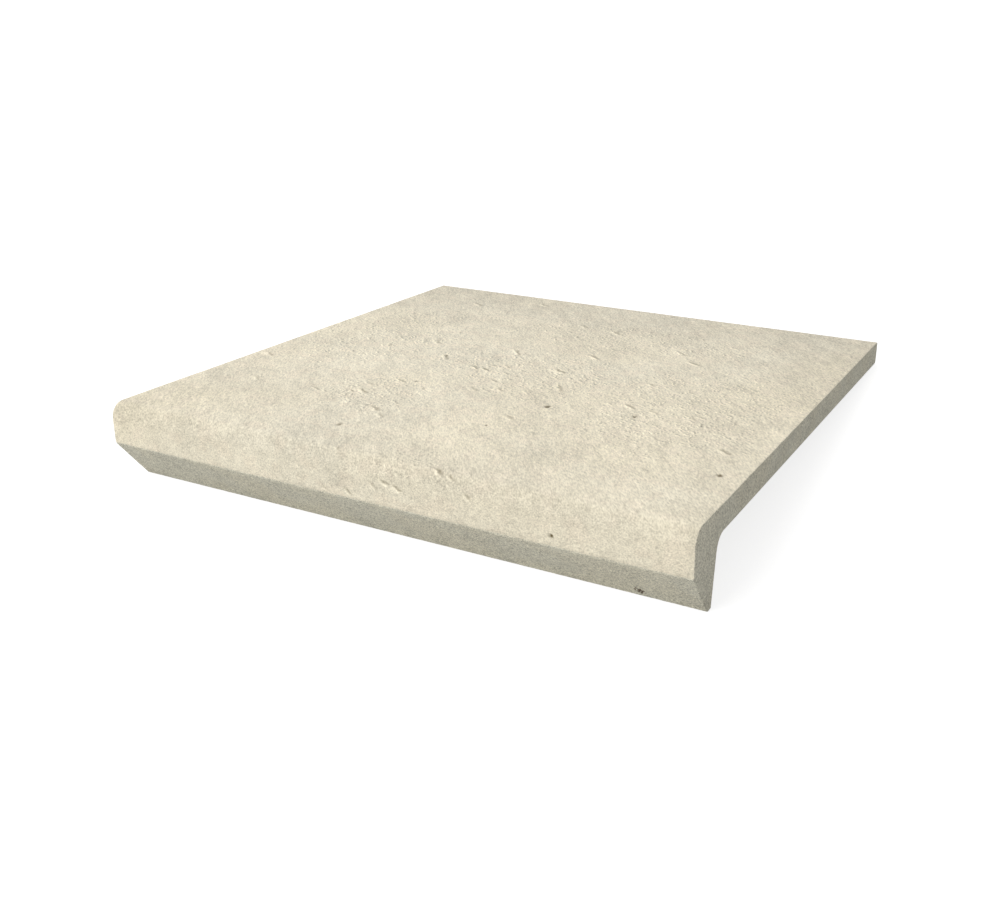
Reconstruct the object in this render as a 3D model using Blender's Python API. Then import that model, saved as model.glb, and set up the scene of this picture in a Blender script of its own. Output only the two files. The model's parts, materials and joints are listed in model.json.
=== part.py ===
# Clinker stair tread tile: a flat tread plate with a skirted drip nose along its front edge.
# It is one fired piece. Its mesh has the tread plane at z = 0, the foremost line of the nose at
# y = 0 and the back edge at y = TREAD_DEPTH. The object is then laid on a level floor, where it
# rests on the foot of the skirt and on the lower edge of its back, with the nose a little higher.

import math

import bmesh
import bpy
from mathutils import Vector

# Driving dimensions, in metres
TREAD_WIDTH = 0.300  # along the nose
TREAD_DEPTH = 0.330  # foremost line of the nose to back edge
PLATE_THICKNESS = 0.0131
SKIRT_DROP = 0.0435  # tread plane to the foot of the skirt
SKIRT_THICKNESS = 0.029  # foremost line to inner face, at the underside of the plate
FRONT_FACE_HEIGHT = 0.0209  # tread plane to the upper edge of the bevel
FOOT_LAND = 0.0039  # flat bottom of the skirt, between the bevel and the inner face

# Roundings, in metres
NOSE_RADIUS = 0.0074
BEVEL_EDGE_RADIUS = 0.0045  # where the front face turns into the bevel
FOOT_RADIUS = 0.0005
INNER_FILLET = 0.007  # in the corner between the skirt and the underside
HEEL_RADIUS = 0.002  # lower back edge
BACK_EDGE_RADIUS = 0.0012  # upper back edge
END_EDGE_RADIUS = 0.0004  # all round the two ends

# Keying relief pressed into the underside, in metres
CELL_PITCH = 0.024  # target distance between cell centres
CELL_RIB = 0.004  # land left between two cells
CELL_DEPTH = 0.0008
CELL_BORDER = 0.012  # plain strip round the field of cells
CUT_OVERRUN = 0.001  # how far a cell's cutter stands out of the underside

# Angles, in degrees
FACE_LEAN = 4.4  # lean of the front face, back towards the bevel
INNER_DRAFT = 5.0  # lean of the skirt's inner face, so that its foot is the thinner end
CELL_DRAFT = 40.0  # lean of a cell's walls
ARC_STEP = 7.5  # turn from one point of a rounding to the next
SMOOTH_ANGLE = 30.0  # edges sharper than this stay crisp

END_EDGE_SEGMENTS = 2
MERGE_DISTANCE = 0.000001  # joins the points of a rounding that has shrunk to nothing
FOOT_SEARCH_STEPS = 6

# Cream matt glaze over the fired body
GLAZE_COLOUR = (0.70, 0.64, 0.50, 1.0)
GLAZE_ROUGHNESS = 0.62


def clear_scene():
    for old in list(bpy.data.objects):
        bpy.data.objects.remove(old, do_unlink=True)


def round_corner(before, corner, after, radius):
    """Points of the arc tangent to both sides of a corner. The sides limit its radius."""
    to_before = before - corner
    to_after = after - corner
    half_angle = to_before.angle(to_after) / 2
    longest_reach = min(to_before.length, to_after.length) / 2
    reach = min(radius / math.tan(half_angle), longest_reach)
    start = corner + to_before.normalized() * reach
    middle_line = (to_before.normalized() + to_after.normalized()).normalized()
    centre = corner + middle_line * (reach / math.cos(half_angle))
    turn = math.pi - 2 * half_angle
    if to_before.cross(to_after) < 0:
        turn = -turn
    steps = max(2, round(abs(turn) / math.radians(ARC_STEP)))
    spoke = start - centre
    points = []
    for step in range(steps + 1):
        angle = -turn * step / steps
        cosine, sine = math.cos(angle), math.sin(angle)
        turned = Vector((spoke.x * cosine - spoke.y * sine, spoke.x * sine + spoke.y * cosine))
        points.append(centre + turned)
    return points


def nose_corner():
    """Depth of the nose's sharp corner, whose rounding has its foremost point at y = 0."""
    lean = math.radians(FACE_LEAN)
    return NOSE_RADIUS - NOSE_RADIUS * (1 + math.sin(lean)) / math.cos(lean)


def inner_face_foot():
    """Depth of the skirt's inner face at its foot."""
    height = SKIRT_DROP - PLATE_THICKNESS
    return SKIRT_THICKNESS - height * math.tan(math.radians(INNER_DRAFT))


def inset_corners(corners, inset):
    """The corners moved into the material by an inset, with their roundings adjusted to it."""
    places = [Vector((y, z)) for y, z, radius in corners]
    moved = []
    for number, (y, z, radius) in enumerate(corners):
        arriving = (places[number] - places[number - 1]).normalized()
        leaving = (places[(number + 1) % len(places)] - places[number]).normalized()
        inward = Vector((-arriving.y - leaving.y, arriving.x + leaving.x))
        place = places[number] + inward * (inset / (1 + arriving.dot(leaving)))
        convex = arriving.cross(leaving) > 0
        moved.append((place, max(0.0, radius - inset) if convex else radius + inset))
    return moved


def tread_section(inset=0.0):
    """The closed section as (y, z) points, from the upper back edge round by the nose."""
    foot_back = inner_face_foot()
    bevel_top = nose_corner() + FRONT_FACE_HEIGHT * math.tan(math.radians(FACE_LEAN))
    corners = [
        (TREAD_DEPTH, 0.0, BACK_EDGE_RADIUS),
        (nose_corner(), 0.0, NOSE_RADIUS),
        (bevel_top, -FRONT_FACE_HEIGHT, BEVEL_EDGE_RADIUS),
        (foot_back - FOOT_LAND, -SKIRT_DROP, FOOT_RADIUS),
        (foot_back, -SKIRT_DROP, FOOT_RADIUS),
        (SKIRT_THICKNESS, -PLATE_THICKNESS, INNER_FILLET),
        (TREAD_DEPTH, -PLATE_THICKNESS, HEEL_RADIUS),
    ]
    moved = inset_corners(corners, inset)
    points = []
    for number, (place, radius) in enumerate(moved):
        before = moved[number - 1][0]
        after = moved[(number + 1) % len(moved)][0]
        points += round_corner(before, place, after, radius)
    return points


def end_rings():
    """(x, inset) of each ring of points, for a quarter round at both ends of the tile."""
    quarter = []
    for step in range(END_EDGE_SEGMENTS + 1):
        angle = math.pi / 2 * step / END_EDGE_SEGMENTS
        along = END_EDGE_RADIUS * (1 - math.sin(angle))
        inset = END_EDGE_RADIUS * (1 - math.cos(angle))
        quarter.append((TREAD_WIDTH / 2 - along, inset))
    left = [(-x, inset) for x, inset in reversed(quarter)]
    return left + quarter


def loft_section():
    """The section carried along X, with the edges of both ends rounded over."""
    shape = bmesh.new()
    rings = []
    for x, inset in end_rings():
        rings.append([shape.verts.new((x, p.x, p.y)) for p in tread_section(inset)])
    count = len(rings[0])
    shape.faces.new(rings[0])
    shape.faces.new(reversed(rings[-1]))
    for ring, following in zip(rings, rings[1:]):
        for number in range(count):
            beside = (number + 1) % count
            shape.faces.new((ring[number], following[number], following[beside], ring[beside]))
    bmesh.ops.remove_doubles(shape, verts=shape.verts, dist=MERGE_DISTANCE)
    bmesh.ops.recalc_face_normals(shape, faces=shape.faces)
    mesh = bpy.data.meshes.new("stair_tread")
    shape.to_mesh(mesh)
    shape.free()
    return mesh


def add_cell(shape, x, y, half_x, half_y):
    """One tapered block, wide at its mouth below the underside and narrow at the cell's floor."""
    slope = math.tan(math.radians(CELL_DRAFT))
    levels = [
        (-PLATE_THICKNESS - CUT_OVERRUN, CUT_OVERRUN * slope),
        (-PLATE_THICKNESS + CELL_DEPTH, -CELL_DEPTH * slope),
    ]
    rings = []
    for z, grow in levels:
        across = half_x + grow
        along = half_y + grow
        corners = [(-across, -along), (across, -along), (across, along), (-across, along)]
        rings.append([shape.verts.new((x + dx, y + dy, z)) for dx, dy in corners])
    mouth, floor = rings
    shape.faces.new(reversed(mouth))
    shape.faces.new(floor)
    for number in range(4):
        following = (number + 1) % 4
        shape.faces.new((mouth[number], mouth[following], floor[following], floor[number]))


def cell_field():
    """All cells of the keying relief: a grid that fills the underside inside a plain border."""
    field_front = SKIRT_THICKNESS + INNER_FILLET + CELL_BORDER
    field_back = TREAD_DEPTH - CELL_BORDER
    field_width = TREAD_WIDTH - 2 * CELL_BORDER
    columns = max(1, round(field_width / CELL_PITCH))
    rows = max(1, round((field_back - field_front) / CELL_PITCH))
    pitch_x = field_width / columns
    pitch_y = (field_back - field_front) / rows
    shape = bmesh.new()
    for column in range(columns):
        for row in range(rows):
            x = -field_width / 2 + (column + 0.5) * pitch_x
            y = field_front + (row + 0.5) * pitch_y
            add_cell(shape, x, y, (pitch_x - CELL_RIB) / 2, (pitch_y - CELL_RIB) / 2)
    mesh = bpy.data.meshes.new("keying_cells")
    shape.to_mesh(mesh)
    shape.free()
    return mesh


def resting_angle(section):
    """Slope of the line from foot to heel that a level floor touches."""
    front = [p for p in section if p.x < TREAD_DEPTH / 2]
    back = [p for p in section if p.x >= TREAD_DEPTH / 2]
    angle = 0.0
    for _ in range(FOOT_SEARCH_STEPS):
        cosine, sine = math.cos(angle), math.sin(angle)
        foot = min(front, key=lambda p: p.y * cosine - p.x * sine)
        heel = min(back, key=lambda p: p.y * cosine - p.x * sine)
        angle = math.atan2(heel.y - foot.y, heel.x - foot.x)
    return angle


def lay_on_floor(tread, section):
    """Turns the tile to its resting slope and centres its footprint on the origin."""
    angle = resting_angle(section)
    cosine, sine = math.cos(angle), math.sin(angle)
    depths = [p.x * cosine + p.y * sine for p in section]
    heights = [p.y * cosine - p.x * sine for p in section]
    tread.rotation_euler = (-angle, 0, 0)
    tread.location = (0, -(min(depths) + max(depths)) / 2, -min(heights))


def glaze_material():
    material = bpy.data.materials.new("matt_glazed_clinker")
    material.use_nodes = True
    shader = material.node_tree.nodes["Principled BSDF"]
    shader.inputs["Base Color"].default_value = GLAZE_COLOUR
    shader.inputs["Roughness"].default_value = GLAZE_ROUGHNESS
    shader.inputs["Metallic"].default_value = 0.0
    return material


def build_tread():
    section = tread_section()
    tread = bpy.data.objects.new("stair_tread", loft_section())
    tread.data.shade_smooth()
    tread.data.set_sharp_from_angle(angle=math.radians(SMOOTH_ANGLE))
    tread.data.materials.append(glaze_material())
    bpy.context.scene.collection.objects.link(tread)
    lay_on_floor(tread, section)

    cells = bpy.data.objects.new("keying_cells", cell_field())
    cells.hide_render = True
    cells.display_type = "WIRE"
    cells.parent = tread
    bpy.context.scene.collection.objects.link(cells)

    cut = tread.modifiers.new("keying_relief", "BOOLEAN")
    cut.operation = "DIFFERENCE"
    cut.solver = "EXACT"
    cut.object = cells
    return tread


clear_scene()
build_tread()
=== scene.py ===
import json
import math

import bpy
import numpy as np
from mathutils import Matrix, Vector


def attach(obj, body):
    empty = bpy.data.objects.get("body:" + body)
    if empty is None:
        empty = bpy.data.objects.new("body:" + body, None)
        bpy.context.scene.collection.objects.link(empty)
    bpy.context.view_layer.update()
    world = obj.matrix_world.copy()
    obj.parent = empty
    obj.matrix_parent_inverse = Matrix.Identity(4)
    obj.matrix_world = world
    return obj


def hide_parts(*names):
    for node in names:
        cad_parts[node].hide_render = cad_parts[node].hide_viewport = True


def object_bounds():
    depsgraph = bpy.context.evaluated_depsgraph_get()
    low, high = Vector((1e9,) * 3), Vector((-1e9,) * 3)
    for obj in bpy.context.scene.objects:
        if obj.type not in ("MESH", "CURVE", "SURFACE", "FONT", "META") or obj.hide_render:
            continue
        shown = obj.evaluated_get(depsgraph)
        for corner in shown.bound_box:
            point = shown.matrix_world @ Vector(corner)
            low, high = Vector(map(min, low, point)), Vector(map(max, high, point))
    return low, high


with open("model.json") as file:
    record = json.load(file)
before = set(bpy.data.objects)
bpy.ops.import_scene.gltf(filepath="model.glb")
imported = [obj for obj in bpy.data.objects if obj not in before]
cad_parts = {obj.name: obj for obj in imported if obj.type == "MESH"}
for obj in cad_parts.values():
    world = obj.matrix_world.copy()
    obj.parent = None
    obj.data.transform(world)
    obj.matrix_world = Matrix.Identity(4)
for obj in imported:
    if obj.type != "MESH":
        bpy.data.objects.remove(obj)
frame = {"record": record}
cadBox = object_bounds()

mm = 0.001

# The tile's section as it was fired, in metres and degrees. In its own frame the tread is at
# height 0, the foremost line of the nose at depth 0 and the back edge at the full depth.
tile = {
    "depth": 0.330,
    "skirtDrop": 0.0435,  # tread to the foot of the skirt
    "skirtThickness": 0.029,  # foremost line to inner face, at the plate's underside
    "frontHeight": 0.0209,  # tread to the upper edge of the bevel
    "footLand": 0.0039,  # flat bottom of the skirt
    "faceLean": 4.4,  # the front face leans back towards the bevel
    "innerLean": 5.0,  # the skirt's inner face leans so that its foot is the thinner end
    "backRadius": 0.0012,
    "noseRadius": 0.0074,
    "bevelRadius": 0.0045,
    "footRadius": 0.0005,
    "innerRadius": 0.007,
    "heelRadius": 0.002,
    "endRadius": 0.0004,
}

# Distances between the surface's points, in metres, and the steps of its roundings
net = {
    "tread": 0.00125,
    "front": 0.0007,
    "bevel": 0.0015,
    "foot": 0.0015,
    "inner": 0.003,
    "back": 0.003,
    "under": 0.012,
    "across": 0.00142,  # along the nose
    "hold": 0.00007,  # flat rim inside each end's rounding; the two stay under the foot's radius
    "noseSteps": 18,
    "bevelSteps": 6,
    "arrisSteps": 3,
    "smallSteps": 3,
    "filletSteps": 5,
    "endSteps": 3,
    "sharpAngle": 38.0,  # edges that turn by more degrees stay crisp
}

# Keying cells pressed into the underside
cells = {
    "count": 11,  # along the nose, and as many from front to back
    "rib": 0.004,
    "depth": 0.0008,
    "border": 0.012,
    "wallLean": 40.0,
}


def tileOnFloor():
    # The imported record's mounts say where the tile lies: the tread's middle point, its slope,
    # and the plate's thickness as the distance between the planes of its two faces.
    mounts = {mount["name"]: mount for mount in frame["record"]["mounts"]}
    tread, bedding = mounts["tread_face"], mounts["bedding_face"]
    up = Vector(tread["axis"])
    middle = Vector(tread["pos_m"])
    return middle, math.atan2(up.y, up.z), (middle - Vector(bedding["pos_m"])).dot(up)


treadMiddle, slope, plateThickness = tileOnFloor()
width = cadBox[1].x - cadBox[0].x


def laidDown(across, depth, height):
    # From the tile's own frame to the floor's: a turn by the slope about a line along the nose,
    # and a shift that brings the middle of the tread to its mount
    back = depth - tile["depth"] / 2
    return np.stack([
        across,
        treadMiddle.y + back * math.cos(slope) + height * math.sin(slope),
        treadMiddle.z + height * math.cos(slope) - back * math.sin(slope),
    ], axis=-1)


def evenSteps(start, end, spacing):
    # Points from start to end, both included, about the given spacing apart
    return np.linspace(start, end, max(1, round(abs(end - start) / spacing)) + 1)


def smoothStep(value, low, high):
    # 0 below low, 1 above high, and 3t2 - 2t3 between
    t = np.clip((value - low) / (high - low), 0, 1)
    return t * t * (3 - 2 * t)


def cellEdges(start, end):
    # Along one side of the field of cells: where each cell's mouth begins and ends
    pitch = (end - start) / cells["count"]
    centres = start + (np.arange(cells["count"]) + 0.5) * pitch
    half = (pitch - cells["rib"]) / 2
    return centres - half, centres + half


def cellWall():
    # How far a cell's wall leans in between its mouth and its floor
    return cells["depth"] * math.tan(math.radians(cells["wallLean"]))


def cellField():
    # The field's front and back, as depths, and half its width
    front = tile["skirtThickness"] + tile["innerRadius"] + cells["border"]
    return front, tile["depth"] - cells["border"], width / 2 - cells["border"]


def cellLines(start, end, fieldStart, fieldEnd, spacing):
    # Lines of the net from start to end that fall on every edge of the cells, at mouth and
    # floor, with even steps between them
    opens, closes = cellEdges(fieldStart, fieldEnd)
    runs = [evenSteps(start, opens[0], spacing)]
    for mouthStart, mouthEnd, following in zip(opens, closes, np.append(opens[1:], end)):
        runs.append(evenSteps(mouthStart + cellWall(), mouthEnd - cellWall(), spacing))
        runs.append(evenSteps(mouthEnd, following, spacing))
    return np.concatenate(runs)


def noseCorner():
    # Depth of the nose's sharp corner, whose rounding has its foremost point at depth 0
    lean = math.radians(tile["faceLean"])
    return tile["noseRadius"] * (1 - (1 + math.sin(lean)) / math.cos(lean))


def sectionCorners():
    # Depth, height, rounding, steps of the rounding and the name of the straight stretch that
    # follows, from the upper back edge forward, down the nose and back under the plate
    rise = tile["skirtDrop"] - plateThickness
    foot = tile["skirtThickness"] - rise * math.tan(math.radians(tile["innerLean"]))
    toe = foot - tile["footLand"]
    bevelTop = noseCorner() + tile["frontHeight"] * math.tan(math.radians(tile["faceLean"]))
    return [
        (tile["depth"], 0.0, tile["backRadius"], net["arrisSteps"], "tread"),
        (noseCorner(), 0.0, tile["noseRadius"], net["noseSteps"], "front"),
        (bevelTop, -tile["frontHeight"], tile["bevelRadius"], net["bevelSteps"], "bevel"),
        (toe, -tile["skirtDrop"], tile["footRadius"], net["smallSteps"], "foot"),
        (foot, -tile["skirtDrop"], tile["footRadius"], net["smallSteps"], "inner"),
        (tile["skirtThickness"], -plateThickness, tile["innerRadius"], net["filletSteps"], "under"),
        (tile["depth"], -plateThickness, tile["heelRadius"], net["smallSteps"], "back"),
    ]


def sectionArc(before, corner, after, radius, steps):
    # An arc tangent to both sides of a corner. It starts radius * tan(bend / 2) before the
    # corner, and its points turn evenly about a centre one radius to the inner side.
    arriving = (corner - before) / np.linalg.norm(corner - before)
    leaving = (after - corner) / np.linalg.norm(after - corner)
    bend = math.atan2(arriving[0] * leaving[1] - arriving[1] * leaving[0], arriving @ leaving)
    side = math.copysign(1.0, bend)
    outward = np.array([arriving[1], -arriving[0]])
    start = corner - arriving * radius * math.tan(abs(bend) / 2)
    turns = np.linspace(0, bend, steps + 1)
    normals = np.stack([outward[0] * np.cos(turns) - outward[1] * np.sin(turns),
                        outward[0] * np.sin(turns) + outward[1] * np.cos(turns)], axis=1)
    return start + (normals - outward) * radius * side, normals


def sectionLine():
    # The closed section: arcs at its corners, joined by straight stretches.
    # Returns each point's place (depth, height), outward normal and stretch.
    corners = sectionCorners()
    spots = [np.array(corner[:2]) for corner in corners]
    arcs = []
    for number, (_, _, radius, steps, _) in enumerate(corners):
        following = spots[(number + 1) % len(spots)]
        arcs.append(sectionArc(spots[number - 1], spots[number], following, radius, steps))
    places, normals, stretches = [], [], []
    fieldFront, fieldBack, _ = cellField()
    for number, (arc, arcNormals) in enumerate(arcs):
        stretch = corners[number][4]
        start, end = arc[-1], arcs[(number + 1) % len(arcs)][0][0]
        length = np.linalg.norm(end - start)
        if stretch == "under":
            along = cellLines(start[0], end[0], fieldFront, fieldBack, net["under"]) - start[0]
        else:
            along = evenSteps(0, length, net[stretch])
        line = start + along[1:-1, None] / length * (end - start)
        places += [arc, line]
        normals += [arcNormals, np.repeat(arcNormals[-1:], len(line), axis=0)]
        stretches += ["arc"] * len(arc) + [stretch] * len(line)
    return np.concatenate(places), np.concatenate(normals), np.array(stretches)


def stations():
    # Places along the nose, and how far the section draws in there: nothing in between, and at
    # both ends a quarter circle that rounds the end's arris, then a narrow flat rim
    radius = tile["endRadius"]
    limit = width / 2 - radius
    middle = cellLines(-limit, limit, -cellField()[2], cellField()[2], net["across"])
    quarter = np.linspace(0, math.pi / 2, net["endSteps"] + 1)[1:]
    tip = np.append(limit + radius * np.sin(quarter), width / 2)
    drawn = np.append(radius * (1 - np.cos(quarter)), radius + net["hold"])
    across = np.concatenate([-tip[::-1], middle, tip])
    return across, np.concatenate([drawn[::-1], np.zeros(len(middle)), drawn])


def cellDepth(across, depth):
    # The cells' walls fall evenly from mouth to floor, so the depth at a point is its distance
    # from the nearest mouth edge over the wall's lean, up to the full depth
    fieldFront, fieldBack, halfField = cellField()

    def inside(place, start, end):
        opens, closes = cellEdges(start, end)
        return np.minimum(place[:, None] - opens, closes - place[:, None]).max(axis=1)

    inward = np.minimum(inside(depth, fieldFront, fieldBack)[:, None],
                        inside(across, -halfField, halfField)[None, :])
    return np.clip(inward / cellWall(), 0, 1) * cells["depth"]


def clayNoise(across, along, size, seed):
    # Smooth random relief. Each corner of a square net has a random slope, and a point blends
    # what its four corners' slopes give there, by the weight 6t5 - 15t4 + 10t3. The factor 1.5
    # brings it to about -1 to 1.
    column = (across - across.min()) / size
    row = (along - along.min()) / size
    left, low = np.floor(column).astype(int), np.floor(row).astype(int)
    angles = np.random.default_rng(seed).uniform(0, 2 * math.pi, (left.max() + 2, low.max() + 2))
    u, v = column - left, row - low

    def corner(stepU, stepV):
        angle = angles[left + stepU, low + stepV]
        return np.cos(angle) * (u - stepU) + np.sin(angle) * (v - stepV)

    weightU = u ** 3 * (u * (u * 6 - 15) + 10)
    weightV = v ** 3 * (v * (v * 6 - 15) + 10)
    near = corner(0, 0) * (1 - weightU) + corner(1, 0) * weightU
    far = corner(0, 1) * (1 - weightU) + corner(1, 1) * weightU
    return 1.5 * (near * (1 - weightV) + far * weightV)


# Relief of the skin, in metres. It only goes inward from the nominal face.
relief = {
    "seed": 21,
    "rest": 0.00012,  # how far the glaze's resting level lies under the nominal face
    "swell": 0.00005, "swellSize": 0.045,  # broad unevenness
    "ripple": 0.00004, "rippleSize": 0.005,
    "ledge": 0.00010,  # height of the stone-like ledges
    "flakeRise": 0.00010, "flakeRecess": 0.00030,
    "frontCalm": 0.3,  # share of the ledges and ripples left on the front face
    "calmFrom": 0.020,  # how far back from the nose they begin to fade
    "clayGrain": 0.00006, "claySize": 0.004,  # unevenness of the bare clay
    "arrisWear": 0.00025, "wearReach": 0.0012, "wearSize": 0.005,  # at the bevel's upper edge
    "wearEdges": (0.0, 0.9),  # values of the noise between which the wear sets in
    "coatFade": 0.003,  # distance above that edge over which the glaze's relief sets in
    "leftAtEnds": 0.1,  # share of all this relief that is left on the flat ends
}

# Stone-like ledges: sizes in metres and shares of the noises, which are cut into levels
ledges = {
    "noises": ((0.017, 1.0), (0.006, 0.5), (0.0027, 0.2)),
    "levels": 2.2,  # to one unit of noise
    "slant": 15.0,  # levels to a metre, towards the back and the right alike
    "dropShare": 0.18,  # share of a level that its steep side takes
    "patchSize": 0.038, "patchEdges": (-0.25, 0.45),
}

# Shapes of a flake: shares of its length, or of the widest size where it is longer than that
flakeForm = {
    "crest": 36.0,  # degrees from the nose's line to the crest, seen from above
    "halfCrest": 0.45,
    "widest": 0.009,
    "riseAhead": 0.20, "riseHalf": 0.14,  # how far before the recess it lies, and its half width
    "recessHalf": 0.11,
    "wander": 0.0009, "wanderSize": 0.0036,  # how far the crest strays, in metres
}

# Small flakes: spread as a share of their drift's half widths, shortest and longest in mm,
# weakest and strongest, and the spread of their turns in degrees
smallFlakes = {"spread": 0.6, "length": (3.0, 5.8), "strength": (0.2, 0.65), "turn": 14.0}

# How the net's points draw together round a flake or a pit
pinch = {
    "share": 0.55,  # of a point's distance, close to the middle
    "reach": 0.8,  # of the flake's length
    "pitLength": 3.0,  # length that a pit counts as, in radii
    "margin": 0.012,  # distance from the ends, the nose and the back edge, in metres
}

# Flakes that stand out: place across and distance back from the nose's foremost line, length in
# mm, strength, which sets both the recess behind the flake's crest and its darkness, and how
# many degrees its crest is turned from the others
boldFlakes = [
    (15, 171, 11, 1.0, 0), (28, 142, 14, 0.6, 20), (-52, 163, 11, 0.7, 17), (-28, 153, 8, 0.9, 0),
    (-21, 153, 8, 1.0, -3), (-15, 271, 9, 0.6, 0), (9, 266, 10, 0.6, 5), (-14, 164, 8, 0.6, 8),
    (-7, 136, 7, 0.7, -4), (3, 123, 8, 0.7, 0), (-22, 193, 12, 0.8, 19), (73, 224, 11, 0.8, -5),
    (71, 132, 9, 0.7, 0), (84, 130, 8, 0.6, 6), (-56, 84, 9, 0.9, 0), (-79, 75, 8, 0.6, -6),
    (132, 92, 10, 0.8, 4), (-49, 110, 8, 0.7, 0), (-141, 116, 11, 0.6, -4), (20, 207, 10, 0.8, 0),
    (-117, 74, 9, 0.5, 5), (-35, 63, 9, 0.7, 0), (-27, 55, 8, 0.6, 9), (67, 173, 8, 0.6, 0),
    (-61, 311, 10, 0.6, -6), (-99, 289, 10, 0.6, 0), (-73, 190, 9, 0.6, 7), (60, 241, 8, 0.6, 0),
    (-9, 117, 8, 0.6, -3), (28, 85, 8, 0.6, 0), (35, 5, 6, 0.8, 4), (10.5, -6, 5, 0.85, -6),
    (17, -7.5, 5, 0.85, -12), (-9, -14.5, 5, 0.7, -10), (51.5, -4, 5, 0.6, -4),
    (42, 3, 4, 0.8, -10), (-21, -16, 4, 0.6, -10),
]

# Soft zones of the glaze: middle across and back, the two half widths in mm, how much lighter
# the zone is than the rest, and how far its hue goes towards sand. Their tone is partly the
# glaze's own and partly painted shade that evens out the lamps' light, such as the darker zone
# on the left of the front face.
zones = [
    (-90, 160, 50, 48, 0.035, 0.0), (150, 225, 36, 85, -0.06, 0.5), (-148, 10, 45, 40, -0.045, 0.8),
    (30, 150, 60, 30, 0.0, 0.15), (-90, -14, 75, 14, -0.035, 0.0), (-20, 95, 60, 60, 0.01, 0.0),
    (40, 285, 110, 35, -0.01, -0.2), (85, 60, 60, 30, 0.0, 0.2), (10, -14, 150, 12, 0.0, -0.35),
    (-130, 300, 32, 34, -0.07, 0.1), (-48, 236, 26, 26, -0.045, 0.0), (45, 285, 40, 30, 0.02, 0.1),
]

# Drifts of small flakes and chips: middle across and back, the two half widths, number of flakes
flakeDrifts = [
    (0, 160, 48, 36, 52), (-48, 84, 22, 24, 18), (-105, 180, 30, 60, 16), (95, 150, 34, 60, 20),
    (20, 255, 60, 26, 14), (14, 0, 24, 9, 3),
]
chipReach = 1.2  # how far the chips spread, in half widths of their drift

# Pits: place across and back, radius and depth in mm, and how much longer than wide
pits = [
    (36, 110, 0.8, 0.5, 2.4), (79, 118, 0.7, 0.5, 2.0), (-36, 33, 1.2, 0.2, 1.8),
    (139, 62, 1.0, 0.4, 1.4), (90, -13, 0.9, 0.4, 1.0), (24, 68, 0.6, 0.3, 1.6),
    (-54, 166, 0.8, 0.3, 1.8), (-42, 113, 0.6, 0.3, 1.4),
]

# Painted light and shade that follow the glaze's relief and place, as shares of its tone; distances
# in metres
paintedLight = {
    "lip": 0.46,  # painted highlight on a flake's rise
    "nose": 0.12, "noseMiddle": -0.0005, "noseReach": 0.75,  # painted shade about that point of the nose; reach in nose radii
    "back": 0.12, "backFrom": 0.130, "backTo": 0.010,  # painted shade, darker towards the back edge
    "recess": 0.76, "pit": 1.0,  # how much painted shade darkens the flakes' recesses and the pits
    "pitFull": 0.0003,  # depth from which a pit gets its painted shade in full
}

rustSpot = (122, 26, 3.3)  # place across, distance down from the bevel's upper edge, radius, mm


def allFlakes():
    # The bold flakes, and smaller ones scattered in their drifts by a bell curve
    chance = np.random.default_rng(relief["seed"])
    flakes = [np.array(boldFlakes, float)]
    for across, back, halfAcross, halfBack, count in flakeDrifts:
        spread = chance.normal(0, smallFlakes["spread"], (count, 2)) * (halfAcross, halfBack)
        lengths = chance.uniform(*smallFlakes["length"], count)
        strengths = chance.uniform(*smallFlakes["strength"], count)
        turns = chance.normal(0, smallFlakes["turn"], count)
        flakes.append(np.column_stack([spread + (across, back), lengths, strengths, turns]))
    return np.concatenate(flakes) * (mm, mm, mm, 1, 1)


def drawnTogether(across, along, flakes):
    # Each flake and pit in turn draws the points round it towards its middle: a point's distance
    # shrinks by the pinch times a bell curve of that distance. The ends stay where they are, and
    # from the nose on down the points only move along the nose.
    margin = pinch["margin"]
    inside = smoothStep(width / 2 - np.abs(across), 0, margin)
    level = (smoothStep(along, tile["noseRadius"], tile["noseRadius"] + margin)
             * smoothStep(tile["depth"] - along, 0, margin))
    pitSpots = np.array(pits)[:, :3] * (mm, mm, pinch["pitLength"] * mm)
    for x, y, length in np.concatenate([flakes[:, :3], pitSpots]):
        offX, offY = across - x, along - y
        bell = np.exp(-(offX ** 2 + offY ** 2) / (2 * (pinch["reach"] * length) ** 2))
        across = across - offX * pinch["share"] * bell * inside
        along = along - offY * pinch["share"] * bell * inside * level
    return across, along


def flakeShapes(across, along, flakes):
    # One flake rises gently from the front to its crest and drops steeply into a narrow recess
    # behind. Both are bell curves across the crest, flat-topped along it. The crest wanders,
    # because its points are looked up a little off their place. Returns rise and recess, 0 to 1.
    seed, wander, wanderSize = relief["seed"], flakeForm["wander"], flakeForm["wanderSize"]
    offX = across + wander * clayNoise(across, along, wanderSize, seed + 1)
    offY = along + wander * clayNoise(across, along, wanderSize, seed + 2)
    rise, recess = np.zeros_like(across), np.zeros_like(across)
    for x, y, length, strength, turn in flakes:
        crest = math.radians(flakeForm["crest"] + turn)
        wide = min(length, flakeForm["widest"])
        cosine, sine = math.cos(crest), math.sin(crest)
        lengthwise = ((offX - x) * cosine - (offY - y) * sine) / (flakeForm["halfCrest"] * length)
        behind = ((offX - x) * sine + (offY - y) * cosine) / wide
        onCrest = strength * np.exp(-lengthwise ** 4)
        riseAcross = (behind + flakeForm["riseAhead"]) / flakeForm["riseHalf"]
        recessAcross = behind / flakeForm["recessHalf"]
        rise = np.maximum(rise, onCrest * np.exp(-riseAcross ** 2))
        recess = np.maximum(recess, onCrest * np.exp(-recessAcross ** 2))
    return rise, recess


def bellAt(across, along, x, y, halfAcross, halfBack):
    # 1 in the middle of a zone, falling off as a bell curve; its place and half widths in mm
    return np.exp(-((across / mm - x) / halfAcross) ** 2 - ((along / mm - y) / halfBack) ** 2)


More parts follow.
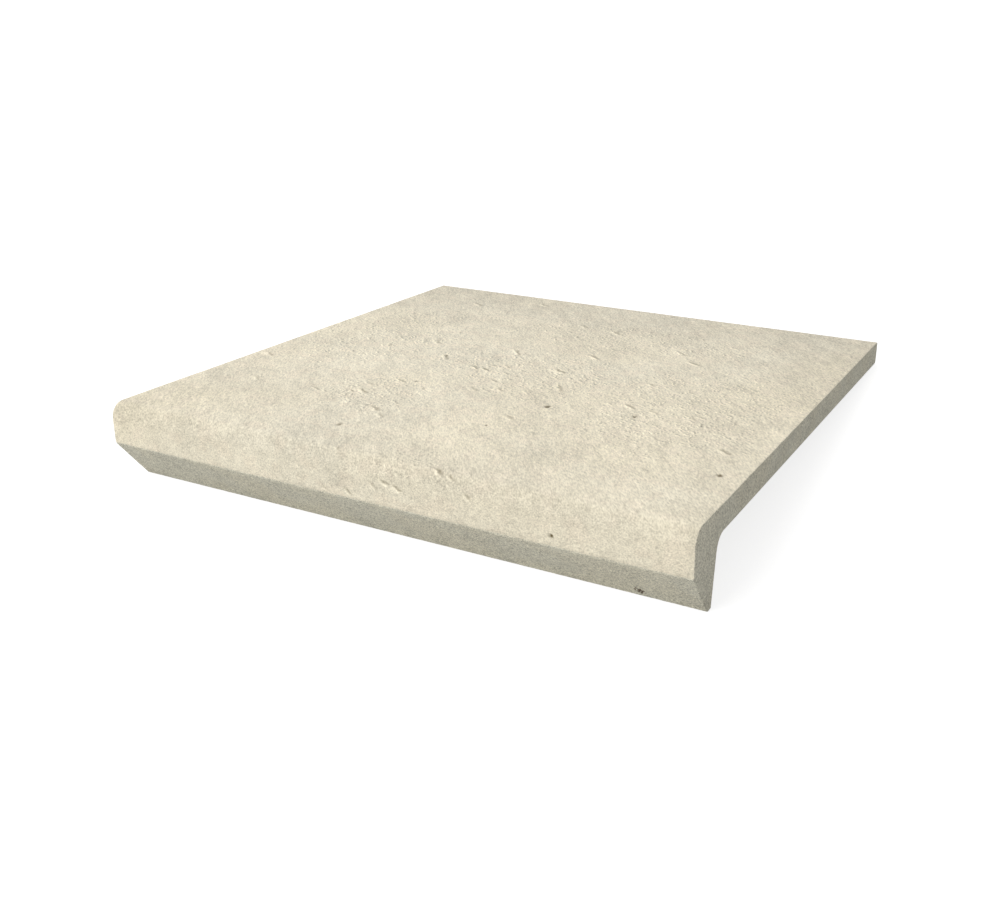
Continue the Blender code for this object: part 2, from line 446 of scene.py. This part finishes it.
def zoneShares(across, along):
    # Sums of bell curves: the zones' tone, which is partly painted shade, and share of sand, and
    # how chipped the drifts are
    tone, sand, chipped = np.zeros_like(across), np.zeros_like(across), np.zeros_like(across)
    for x, y, halfAcross, halfBack, lighter, warmer in zones:
        bell = bellAt(across, along, x, y, halfAcross, halfBack)
        tone, sand = tone + lighter * bell, sand + warmer * bell
    for x, y, halfAcross, halfBack, _ in flakeDrifts:
        bell = bellAt(across, along, x, y, chipReach * halfAcross, chipReach * halfBack)
        chipped = np.maximum(chipped, bell)
    return tone, sand, chipped


def pitDepths(across, along):
    # A pit is a steep bowl: its depth falls off with the sixth power of the distance
    depth = np.zeros_like(across)
    for x, y, radius, deep, longer in np.array(pits) * (mm, mm, mm, mm, 1):
        distance = np.hypot(across - x, (along - y) / longer) / radius
        depth = np.maximum(depth, deep * np.exp(-distance ** 6))
    return depth


def ledgeHeights(across, along):
    # The noises' sum, slanted, is cut into levels that rise gently and drop quickly, and the
    # ledges fade out between patches
    seed = relief["seed"]
    rough = sum(share * clayNoise(across, along, size, seed + 3 + number)
                for number, (size, share) in enumerate(ledges["noises"]))
    level = rough * ledges["levels"] - (along + across) * ledges["slant"]
    share = level - np.floor(level)
    saw = smoothStep(share, 0, ledges["dropShare"]) * (1 - share)
    patches = clayNoise(across, along, ledges["patchSize"], seed + 6)
    return saw * smoothStep(patches, *ledges["patchEdges"])


def frontShare(along):
    # Share of the glaze's liveliness: all of it on the tread, less on the front face
    return 1 - (1 - relief["frontCalm"]) * smoothStep(-along, -relief["calmFrom"], 0)


def glazeDepths(across, along, rise, recess, pitted):
    # How far the glaze lies inward: its resting level, swells and ripples, less the ledges and
    # the flakes' rises, plus their recesses and the pits
    seed, lively = relief["seed"], frontShare(along)
    swell = clayNoise(across, along, relief["swellSize"], seed + 7)
    ripple = clayNoise(across, along, relief["rippleSize"], seed + 8)
    depths = (relief["rest"] + relief["swell"] * swell + relief["ripple"] * lively * ripple
              - relief["ledge"] * lively * ledgeHeights(across, along)
              - relief["flakeRise"] * rise + relief["flakeRecess"] * recess + pitted)
    return np.maximum(depths, 0)


def arrisWear(across, along, limit):
    # A bell curve across the bevel's upper edge, in the places where a noise is high
    noise = clayNoise(across, along, relief["wearSize"], relief["seed"] + 10)
    bell = np.exp(-((along - limit) / relief["wearReach"]) ** 2)
    return relief["arrisWear"] * smoothStep(noise, *relief["wearEdges"]) * bell


def skinLengths(places, stretches):
    # Distance of each section point back from the nose's foremost line, measured along the skin
    # and equal to the depth on the tread; and that of the middle of the bevel's upper rounding
    steps = np.linalg.norm(np.diff(places, axis=0), axis=1)
    travelled = np.concatenate([[0], np.cumsum(steps)])
    start = np.argmax(stretches == "tread")
    back = places[start, 0] + travelled[start] - travelled
    return back, back[np.argmax(stretches == "bevel") - 1 - net["bevelSteps"] // 2]


def skinTraits(across, along, limit, coated, rise, recess, pitted):
    # What the material reads at each point: how far it lies inside the glaze's limit, in mm, how
    # rusty it is, how much lighter or darker the glaze is by its own tone and by painted light and
    # shade, how much painted shade darkens its recesses and pits, and how much sandier and more
    # chipped it is
    toEnds = width / 2 - tile["endRadius"] / 2 - np.abs(across)
    toBack = tile["depth"] - tile["backRadius"] / 2 - along
    rustAcross, rustBack, rustRadius = (value * mm for value in rustSpot)
    fromRust = np.hypot(across - rustAcross, along - limit + rustBack) / rustRadius
    tone, sand, chipped = zoneShares(across, along)
    fromNose = (along - paintedLight["noseMiddle"]) / (paintedLight["noseReach"] * tile["noseRadius"])
    towardsBack = smoothStep(along, tile["depth"] - paintedLight["backFrom"],
                             tile["depth"] - paintedLight["backTo"])
    # Painted highlight on the flakes' rises, the zones' tone, which is partly painted shade, and
    # painted shade over the nose and towards the back
    toneAndPaintedLight = (paintedLight["lip"] * rise + tone - paintedLight["nose"] * np.exp(-fromNose ** 2)
            - paintedLight["back"] * towardsBack)
    # Painted shade in the pits, growing with their depth
    pitShade = paintedLight["pit"] * np.clip(pitted / paintedLight["pitFull"], 0, 1)
    return {
        "coatReach": np.minimum(np.minimum(along - limit, toEnds), toBack) / mm,
        "rust": np.exp(-fromRust ** 2),
        "toneAndPaintedLight": toneAndPaintedLight * coated,
        # Painted shade in the flakes' recesses and the pits
        "paintedHollowShade": np.maximum(paintedLight["recess"] * recess, pitShade) * coated,
        "sand": sand,
        "chipped": chipped * frontShare(along),
    }


def tileSurface():
    # The whole skin as a function of two parameters: a point of the section (row) at a station
    # along the nose (column). Depth and height come from the section, moved inward along its
    # normal by what the ends draw in, the glaze's relief, the clay's grain and the cells.
    places, normals, stretches = sectionLine()
    stationAcross, drawn = stations()
    back, limit = skinLengths(places, stretches)
    stillAcross, stillAlong = np.broadcast_arrays(stationAcross[None, :], back[:, None])
    flakes = allFlakes()
    across, along = drawnTogether(stillAcross, stillAlong, flakes)
    along = np.where((stretches == "tread")[:, None], along, stillAlong)
    under = (stretches == "under")[:, None]

    rise, recess = flakeShapes(across, along, flakes)
    pitted = pitDepths(across, along)
    coated = smoothStep(along, limit, limit + relief["coatFade"])
    glaze = glazeDepths(across, along, rise, recess, pitted)
    grain = clayNoise(stillAcross, stillAlong, relief["claySize"], relief["seed"] + 9)
    clay = relief["clayGrain"] * (1 + grain) * ~under
    wear = arrisWear(stillAcross, stillAlong, limit)
    inward = glaze * coated + clay * (1 - coated) + wear
    towardsEnds = np.clip(drawn / tile["endRadius"], 0, 1)
    inward = inward * (1 - (1 - relief["leftAtEnds"]) * towardsEnds)
    inward = inward + np.where(under, cellDepth(stationAcross, places[:, 0]), 0) + drawn

    depth = places[:, :1] - normals[:, :1] * inward + (along - stillAlong)
    height = places[:, 1:] - normals[:, 1:] * inward
    traits = skinTraits(across, along, limit, coated, rise, recess, pitted)
    return laidDown(across, depth, height), traits, stretches


def skinMesh(name, points, stretches):
    # Quads between neighbouring points, the section's last row joining its first, and the ends
    rows, columns = points.shape[:2]
    number = np.arange(rows * columns).reshape(rows, columns)
    below = np.roll(number, -1, axis=0)
    quads = np.stack([number[:, :-1], below[:, :-1], below[:, 1:], number[:, 1:]], axis=-1)
    triangles = np.concatenate([
        endTriangles(points[:, -1], stretches, number[:, -1], False),
        endTriangles(points[:, 0], stretches, number[:, 0], True)])
    mesh = bpy.data.meshes.new(name)
    mesh.vertices.add(rows * columns)
    mesh.vertices.foreach_set("co", points.astype(np.float32).ravel())
    loops = np.concatenate([quads.ravel(), triangles.ravel()])
    mesh.loops.add(len(loops))
    mesh.loops.foreach_set("vertex_index", loops.astype(np.int32))
    sizes = np.concatenate([np.full(quads.size // 4, 4), np.full(len(triangles), 3)])
    mesh.polygons.add(len(sizes))
    mesh.polygons.foreach_set("loop_start", (np.cumsum(sizes) - sizes).astype(np.int32))
    mesh.update(calc_edges=True)
    mesh.validate()
    return mesh


def endTriangles(ring, stretches, numbers, turned):
    # A flat end is filled between two chains of the section: the outer one from the back over
    # the nose to the foot, the inner one from the heel under the plate to the foot. Lengths
    # count from 0 to 1 along the plate, up to where the nose and the inner corner begin to turn,
    # and from 1 to 2 down the skirt, up to where the foot's edges do. Every step of one chain
    # makes a triangle with the point that the other chain has reached by then.
    foot = np.flatnonzero(stretches == "foot")[0]
    outer, inner = np.arange(foot + 1), np.arange(len(ring) - 1, foot, -1)
    nose, toe = (np.flatnonzero(stretches == name)[-1] + 1 for name in ("tread", "bevel"))
    corner, sole = (np.flatnonzero(stretches == name)[0] - 1 for name in ("under", "inner"))
    shares = []
    for chain, bend, edge in ((outer, nose, toe), (inner, corner, sole)):
        steps = np.linalg.norm(np.diff(ring[chain], axis=0), axis=1)
        lengths = np.concatenate([[0], np.cumsum(steps)])
        marks = [0, lengths[chain == bend][0], lengths[chain == edge][0]]
        shares.append(np.interp(lengths, marks, [0, 1, 2]))
    reachedInner = np.searchsorted(shares[1][1:], shares[0][1:], side="left")
    reachedOuter = np.searchsorted(shares[0][1:], shares[1][1:], side="right")
    outerSteps = np.stack([outer[:-1], outer[1:], inner[reachedInner]], axis=1)
    innerSteps = np.stack([inner[1:], inner[:-1], outer[reachedOuter]], axis=1)
    triangles = numbers[np.concatenate([outerSteps, innerSteps])]
    return triangles[:, ::-1] if turned else triangles


nodeGrid = {"across": 260, "down": -300, "columns": 9}  # where new shader nodes are laid


def addStep(web, kind, sockets, **traits):
    # One shader node. A socket given another node's output is linked to it, the others are set.
    step = web.nodes.new("ShaderNode" + kind)
    row, column = divmod(len(web.nodes), nodeGrid["columns"])
    step.location = (nodeGrid["across"] * column, nodeGrid["down"] * row)
    for trait, value in traits.items():
        setattr(step, trait, value)
    for socket, value in sockets.items():
        if isinstance(value, bpy.types.NodeSocket):
            web.links.new(value, step.inputs[socket])
        else:
            step.inputs[socket].default_value = value
    return step


def clouds(web, place, size, detail=2.0, rough=0.5, twist=0.0):
    # Cloudy pattern from 0 to 1 with patches about "size" metres across
    sockets = {"Vector": place, "Scale": 1 / size, "Detail": detail, "Roughness": rough,
               "Distortion": twist}
    return addStep(web, "TexNoise", sockets).outputs[0]


def carried(web, name):
    # What the skin's points carry under a name
    return addStep(web, "Attribute", {}, attribute_name=name).outputs["Fac"]


def drawnOut(web, place, turn, sizes):
    # Space turned by so many degrees about the tile's height, and drawn out by the sizes
    sockets = {"Vector": place, "Rotation": (0, 0, math.radians(turn)), "Scale": sizes}
    return addStep(web, "Mapping", sockets, vector_type="TEXTURE").outputs[0]


def between(web, value, low, high, start=0.0, end=1.0):
    # Start below low, end above high, and a smooth step between
    sockets = {"Value": value, "From Min": low, "From Max": high, "To Min": start, "To Max": end}
    return addStep(web, "MapRange", sockets, interpolation_type="SMOOTHSTEP").outputs[0]


def reckon(web, operation, first, second=0.0, third=0.0):
    # One sum, product or the like of two or three values
    return addStep(web, "Math", {0: first, 1: second, 2: third}, operation=operation).outputs[0]


def tinted(web, colour, tone):
    # A colour made lighter or darker by a tone about 1
    return addStep(web, "VectorMath", {0: colour, 3: tone}, operation="SCALE").outputs[0]


def mixed(web, share, first, second):
    # The first colour at share 0, the second at share 1, and a blend between
    return addStep(web, "Mix", {0: share, 6: first, 7: second}, data_type="RGBA").outputs[2]


def mixedValue(web, share, first, second):
    # The same for two plain values
    return addStep(web, "Mix", {0: share, 2: first, 3: second}, data_type="FLOAT").outputs[0]


def toned(web, place, patterns, lie=0.0):
    # Tone = 1 + the sum of each pattern's strength times how far its clouds lie from a half
    tone = 1.0
    for size, strength, detail, longer in patterns:
        spot = place if longer == 1 else drawnOut(web, place, lie, (1, longer, 1))
        offMiddle = reckon(web, "SUBTRACT", clouds(web, spot, size, detail), 0.5)
        tone = reckon(web, "MULTIPLY_ADD", offMiddle, strength, tone)
    return tone


def raised(web, place, patterns, height):
    # The height plus the sum of each pattern's own height times its clouds
    for size, strength in patterns:
        height = reckon(web, "MULTIPLY_ADD", clouds(web, place, size), strength, height)
    return height


# Cream glaze. Sizes and heights in metres. Edges are the two values of a cloudy pattern, 0 to 1,
# between which its share sets in.
glazeFinish = {
    "cream": (0.766, 0.708, 0.561, 1),
    "sand": (0.766, 0.695, 0.529, 1),
    "hueSize": 0.070, "hueDetail": 3.0, "hueEdges": (0.35, 0.65), "hueShare": 0.55,
    "blush": (0.780, 0.698, 0.548, 1),
    "blushSize": 0.009, "blushDetail": 3.0, "blushEdges": (0.46, 0.64), "blushShare": 0.60,
    # Dark colour painted as shade into the flakes' recesses and the pits
    "paintedHollowShade": (0.105, 0.078, 0.025, 1),
    # Patterns of the tone: size, strength, detail, and how much longer than wide they are, in a
    # direction that lies so many degrees from the tile's depth
    "patterns": ((0.036, 0.22, 2.0, 1.9), (0.013, 0.30, 2.0, 1.9), (0.0040, 0.25, 1.0, 3.8),
                 (0.0015, 0.23, 1.0, 3.8), (0.00060, 0.62, 0.0, 3.8)),
    "lie": 32.0,
    "heights": ((0.0028, 0.00006), (0.00060, 0.00003)),  # size and height of pebbling and grain
    "roughness": 0.66,
}

# Chips: dents too small for the skin's points. They show as a painted highlight on one side and a
# painted shade on the other, and the light side is also raised by the bump.
chipFinish = {
    "long": 0.0034, "wide": 0.0022, "height": 0.00010,
    "detail": 2.0, "twist": 1.4, "edges": (0.54, 0.68),
    "shift": -0.5,  # from the light side to the dark one, in chip widths
    # strength of the chips' painted highlight and painted shade, as a share of the tone
    "tone": 0.36,
    "patchSize": 0.040, "patchShare": 0.5,  # patches of chips outside the drifts
    "driftEdges": (0.2, 0.9), "least": 0.2,  # share of their strength that is left everywhere
}


def chipSides(web, place):
    # Dense spots of clouds drawn out along the flakes' crests, and the same spots shifted. Both
    # are strong in the drifts that the points carry and in patches, and weak elsewhere.
    sizes = (chipFinish["long"], chipFinish["wide"], chipFinish["wide"])
    turned = drawnOut(web, place, -flakeForm["crest"], sizes)
    patches = clouds(web, place, chipFinish["patchSize"])
    drift = reckon(web, "MULTIPLY_ADD", patches, chipFinish["patchShare"], carried(web, "chipped"))
    drift = between(web, drift, *chipFinish["driftEdges"], chipFinish["least"], 1.0)
    sides = []
    # First the chips' painted highlight, then the same spots shifted as their painted shade
    for shift in (0.0, chipFinish["shift"]):
        sockets = {"Vector": turned, "Location": (0, shift, 0)}
        beside = addStep(web, "Mapping", sockets).outputs[0]
        dense = clouds(web, beside, 1.0, chipFinish["detail"], twist=chipFinish["twist"])
        spots = between(web, dense, *chipFinish["edges"])
        sides.append(reckon(web, "MULTIPLY", spots, drift))
    return sides


def glazeLook(web, place):
    # The hue drifts from cream to sand, and blushes in small spots. Tone = the patterns + the
    # chips' painted highlight less their painted shade + what the points carry, which holds painted
    # light and shade too. Recesses and pits are darkened with painted shade.
    look = glazeFinish
    hue = clouds(web, place, look["hueSize"], look["hueDetail"])
    hue = between(web, hue, *look["hueEdges"], 0.0, look["hueShare"])
    hue = reckon(web, "ADD", hue, carried(web, "sand"))
    colour = mixed(web, hue, look["cream"], look["sand"])
    blush = clouds(web, place, look["blushSize"], look["blushDetail"])
    blush = between(web, blush, *look["blushEdges"], 0.0, look["blushShare"])
    colour = mixed(web, blush, colour, look["blush"])
    tone = toned(web, place, look["patterns"], look["lie"])
    lightSide, darkSide = chipSides(web, place)
    # The chips' painted highlight less their painted shade
    chipped = reckon(web, "SUBTRACT", lightSide, darkSide)
    tone = reckon(web, "MULTIPLY_ADD", chipped, chipFinish["tone"], tone)
    tone = reckon(web, "ADD", tone, carried(web, "toneAndPaintedLight"))
    height = reckon(web, "MULTIPLY", lightSide, chipFinish["height"])
    height = raised(web, place, look["heights"], height)
    # Painted shade mixed into the flakes' recesses and the pits
    colour = mixed(web, carried(web, "paintedHollowShade"), tinted(web, colour, tone), look["paintedHollowShade"])
    return colour, look["roughness"], height


# Bare fired clay of the bevel, the ends, the back and the underside. Sizes in metres.
clayFinish = {
    "stone": (0.690, 0.655, 0.525, 1),
    "ash": (0.660, 0.635, 0.520, 1),
    "hueSize": 0.024, "hueDetail": 3.0, "hueEdges": (0.38, 0.62),
    # Patterns of the tone: size, strength, detail, and how much longer than wide
    "patterns": ((0.016, 0.22, 3.0, 1), (0.004, 0.28, 2.0, 1), (0.0016, 0.55, 1.0, 1),
                 (0.00065, 1.25, 0.0, 1)),
    "speckSize": 0.0016, "speckDetail": 1.0, "speckEdges": (0.68, 0.76), "speckTone": 0.22,
    "dragLong": 0.012, "dragWide": 0.0016, "dragHeight": 0.00008,  # faint lines along the nose
    "heights": ((0.00065, 0.00010),),  # size and height of the grain
    "rust": (0.075, 0.045, 0.025, 1),
    "rustSize": 0.0009, "rustDetail": 0.0, "rustEdges": (0.32, 0.38),
    "roughness": 0.88,
}


def clayLook(web, place):
    # The hue drifts from stone to ash. Tone = the patterns, less a little on sparse dark specks.
    # Rust shows where its clouds times what the points carry are high enough.
    look = clayFinish
    hue = clouds(web, place, look["hueSize"], look["hueDetail"])
    colour = mixed(web, between(web, hue, *look["hueEdges"]), look["stone"], look["ash"])
    tone = toned(web, place, look["patterns"])
    specks = clouds(web, place, look["speckSize"], look["speckDetail"])
    specks = between(web, specks, *look["speckEdges"])
    tone = reckon(web, "MULTIPLY_ADD", specks, -look["speckTone"], tone)
    rusty = clouds(web, place, look["rustSize"], look["rustDetail"])
    rusty = reckon(web, "MULTIPLY", carried(web, "rust"), rusty)
    rusty = between(web, rusty, *look["rustEdges"])
    colour = mixed(web, rusty, tinted(web, colour, tone), look["rust"])
    scale = (1 / look["dragLong"], 1 / look["dragWide"], 1 / look["dragWide"])
    dragged = addStep(web, "Mapping", {"Vector": place, "Scale": scale}).outputs[0]
    height = reckon(web, "MULTIPLY", clouds(web, dragged, 1.0), look["dragHeight"])
    return colour, look["roughness"], raised(web, place, look["heights"], height)


# The glaze's ragged limit: size of its grain in metres, how far the grain reaches and half the
# width over which the glaze thins out, both in mm. Then the shine of the whole tile.
coatFinish = {
    "grainSize": 0.0014, "grainDetail": 3.0, "grainRough": 0.6, "grainReach": 1.1,
    "halfFade": 0.25,
    "shine": 0.3,
}


def tileFinish():
    # Glaze over clay: the glaze covers what lies more than a grain inside its limit, whose
    # distance in millimetres each point of the skin carries
    look = coatFinish
    material = bpy.data.materials.new("cream_glaze_on_clay")
    material.use_nodes = True
    web = material.node_tree
    shader = web.nodes["Principled BSDF"]
    own = addStep(web, "TexCoord", {}).outputs["Object"]
    place = addStep(web, "Mapping", {"Vector": own, "Rotation": (slope, 0, 0)}).outputs[0]
    ragged = clouds(web, place, look["grainSize"], look["grainDetail"], look["grainRough"])
    ragged = reckon(web, "SUBTRACT", ragged, 0.5)
    reach = reckon(web, "MULTIPLY_ADD", ragged, look["grainReach"], carried(web, "coatReach"))
    coat = between(web, reach, -look["halfFade"], look["halfFade"])
    glaze, clay = glazeLook(web, place), clayLook(web, place)
    height = mixedValue(web, coat, clay[2], glaze[2])
    bump = addStep(web, "Bump", {"Strength": 1.0, "Distance": 1.0, "Height": height})
    web.links.new(mixed(web, coat, clay[0], glaze[0]), shader.inputs["Base Color"])
    web.links.new(mixedValue(web, coat, clay[1], glaze[1]), shader.inputs["Roughness"])
    web.links.new(bump.outputs[0], shader.inputs["Normal"])
    shader.inputs["Specular IOR Level"].default_value = look["shine"]
    return material


def makeTile():
    # The skin with what its points carry, in place of the CAD node
    points, traits, stretches = tileSurface()
    mesh = skinMesh("clinker_stair_tread", points, stretches)
    for name, values in traits.items():
        layer = mesh.attributes.new(name, "FLOAT", "POINT")
        layer.data.foreach_set("value", values.astype(np.float32).ravel())
    mesh.shade_smooth()
    mesh.set_sharp_from_angle(angle=math.radians(net["sharpAngle"]))
    mesh.materials.append(tileFinish())
    piece = bpy.data.objects.new("clinker_stair_tread", mesh)
    bpy.context.scene.collection.objects.link(piece)
    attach(piece, "root")
    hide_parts("stair_tread")
    return piece


# Plain studio: a broad soft lamp low in front of the tile, one high behind it, both to its left,
# and even light all round. Places and sizes in metres, power in watts.
studio = {
    "lamps": {
        "front": {"place": (-0.60, -1.86, 1.05), "size": 1.2, "power": 29.2},
        "back": {"place": (-1.44, 3.15, 3.15), "size": 2.6, "power": 69.0},
    },
    "ambient": 0.49,
    "floorSide": 16.0, "floorGrey": 0.45, "floorRoughness": 0.9,
    "floorGlow": 0.78,  # as seen directly; the floor lights the tile without it
    "white": 1.0,  # the world as seen directly
}


def seenDirectly(web):
    # 1 where the camera, a reflection or a view through glass meets the surface, 0 for its light
    path = addStep(web, "LightPath", {})
    seen = reckon(web, "MAXIMUM", path.outputs["Is Camera Ray"], path.outputs["Is Glossy Ray"])
    return reckon(web, "MAXIMUM", seen, path.outputs["Is Transmission Ray"])


def makeFloor():
    # A level square in the plane of the tile's foot and heel, which keeps its shadow
    half = studio["floorSide"] / 2
    mesh = bpy.data.meshes.new("floor")
    corners = [(-half, -half, 0), (half, -half, 0), (half, half, 0), (-half, half, 0)]
    mesh.from_pydata(corners, [], [(0, 1, 2, 3)])
    material = bpy.data.materials.new("pale_floor")
    material.use_nodes = True
    web = material.node_tree
    shader = web.nodes["Principled BSDF"]
    grey = studio["floorGrey"]
    shader.inputs["Base Color"].default_value = (grey, grey, grey, 1)
    shader.inputs["Roughness"].default_value = studio["floorRoughness"]
    shader.inputs["Specular IOR Level"].default_value = 0.0
    glow = reckon(web, "MULTIPLY", seenDirectly(web), studio["floorGlow"])
    shader.inputs["Emission Color"].default_value = (1, 1, 1, 1)
    web.links.new(glow, shader.inputs["Emission Strength"])
    mesh.materials.append(material)
    floor = bpy.data.objects.new("floor", mesh)
    bpy.context.scene.collection.objects.link(floor)


def makeLight():
    # Square lamps that face the tile's middle, and a world that is white where seen directly
    for name, traits in studio["lamps"].items():
        lamp = bpy.data.lights.new(name, "AREA")
        lamp.shape = "SQUARE"
        lamp.size = traits["size"]
        lamp.energy = traits["power"]
        holder = bpy.data.objects.new(name, lamp)
        holder.location = traits["place"]
        holder.rotation_euler = (-Vector(traits["place"])).to_track_quat("-Z", "Y").to_euler()
        bpy.context.scene.collection.objects.link(holder)
    world = bpy.data.worlds.new("studio")
    world.use_nodes = True
    web = world.node_tree
    strength = mixedValue(web, seenDirectly(web), studio["ambient"], studio["white"])
    web.nodes["Background"].inputs["Color"].default_value = (1, 1, 1, 1)
    web.links.new(strength, web.nodes["Background"].inputs["Strength"])
    bpy.context.scene.world = world


# The photograph's viewpoint, in metres, degrees and millimetres of lens
viewpoint = {
    "place": (0.27936, -0.56188, 0.27240), "turn": (68.9438, 2.4454, 30.4165),
    "lens": 44.5992, "sensor": 36.0, "shift": (0.06364, -0.08081),
    "farthest": 50.0,
}


def makeCamera():
    # The camera stands at the viewpoint, turned about X, Y and Z in that order
    lens = bpy.data.cameras.new("camera")
    lens.sensor_fit = "HORIZONTAL"
    lens.lens, lens.sensor_width = viewpoint["lens"], viewpoint["sensor"]
    lens.shift_x, lens.shift_y = viewpoint["shift"]
    lens.clip_end = viewpoint["farthest"]
    camera = bpy.data.objects.new("camera", lens)
    camera.location = viewpoint["place"]
    camera.rotation_euler = [math.radians(turn) for turn in viewpoint["turn"]]
    bpy.context.scene.collection.objects.link(camera)
    bpy.context.scene.camera = camera


makeCamera()
print("camera at the photograph's viewpoint")
tread = makeTile()
print("tile skin:", sum(len(face.vertices) - 2 for face in tread.data.polygons), "triangles")
makeFloor()
makeLight()
print("floor, lamps and world")
bpy.context.scene.view_settings.view_transform = "Standard"
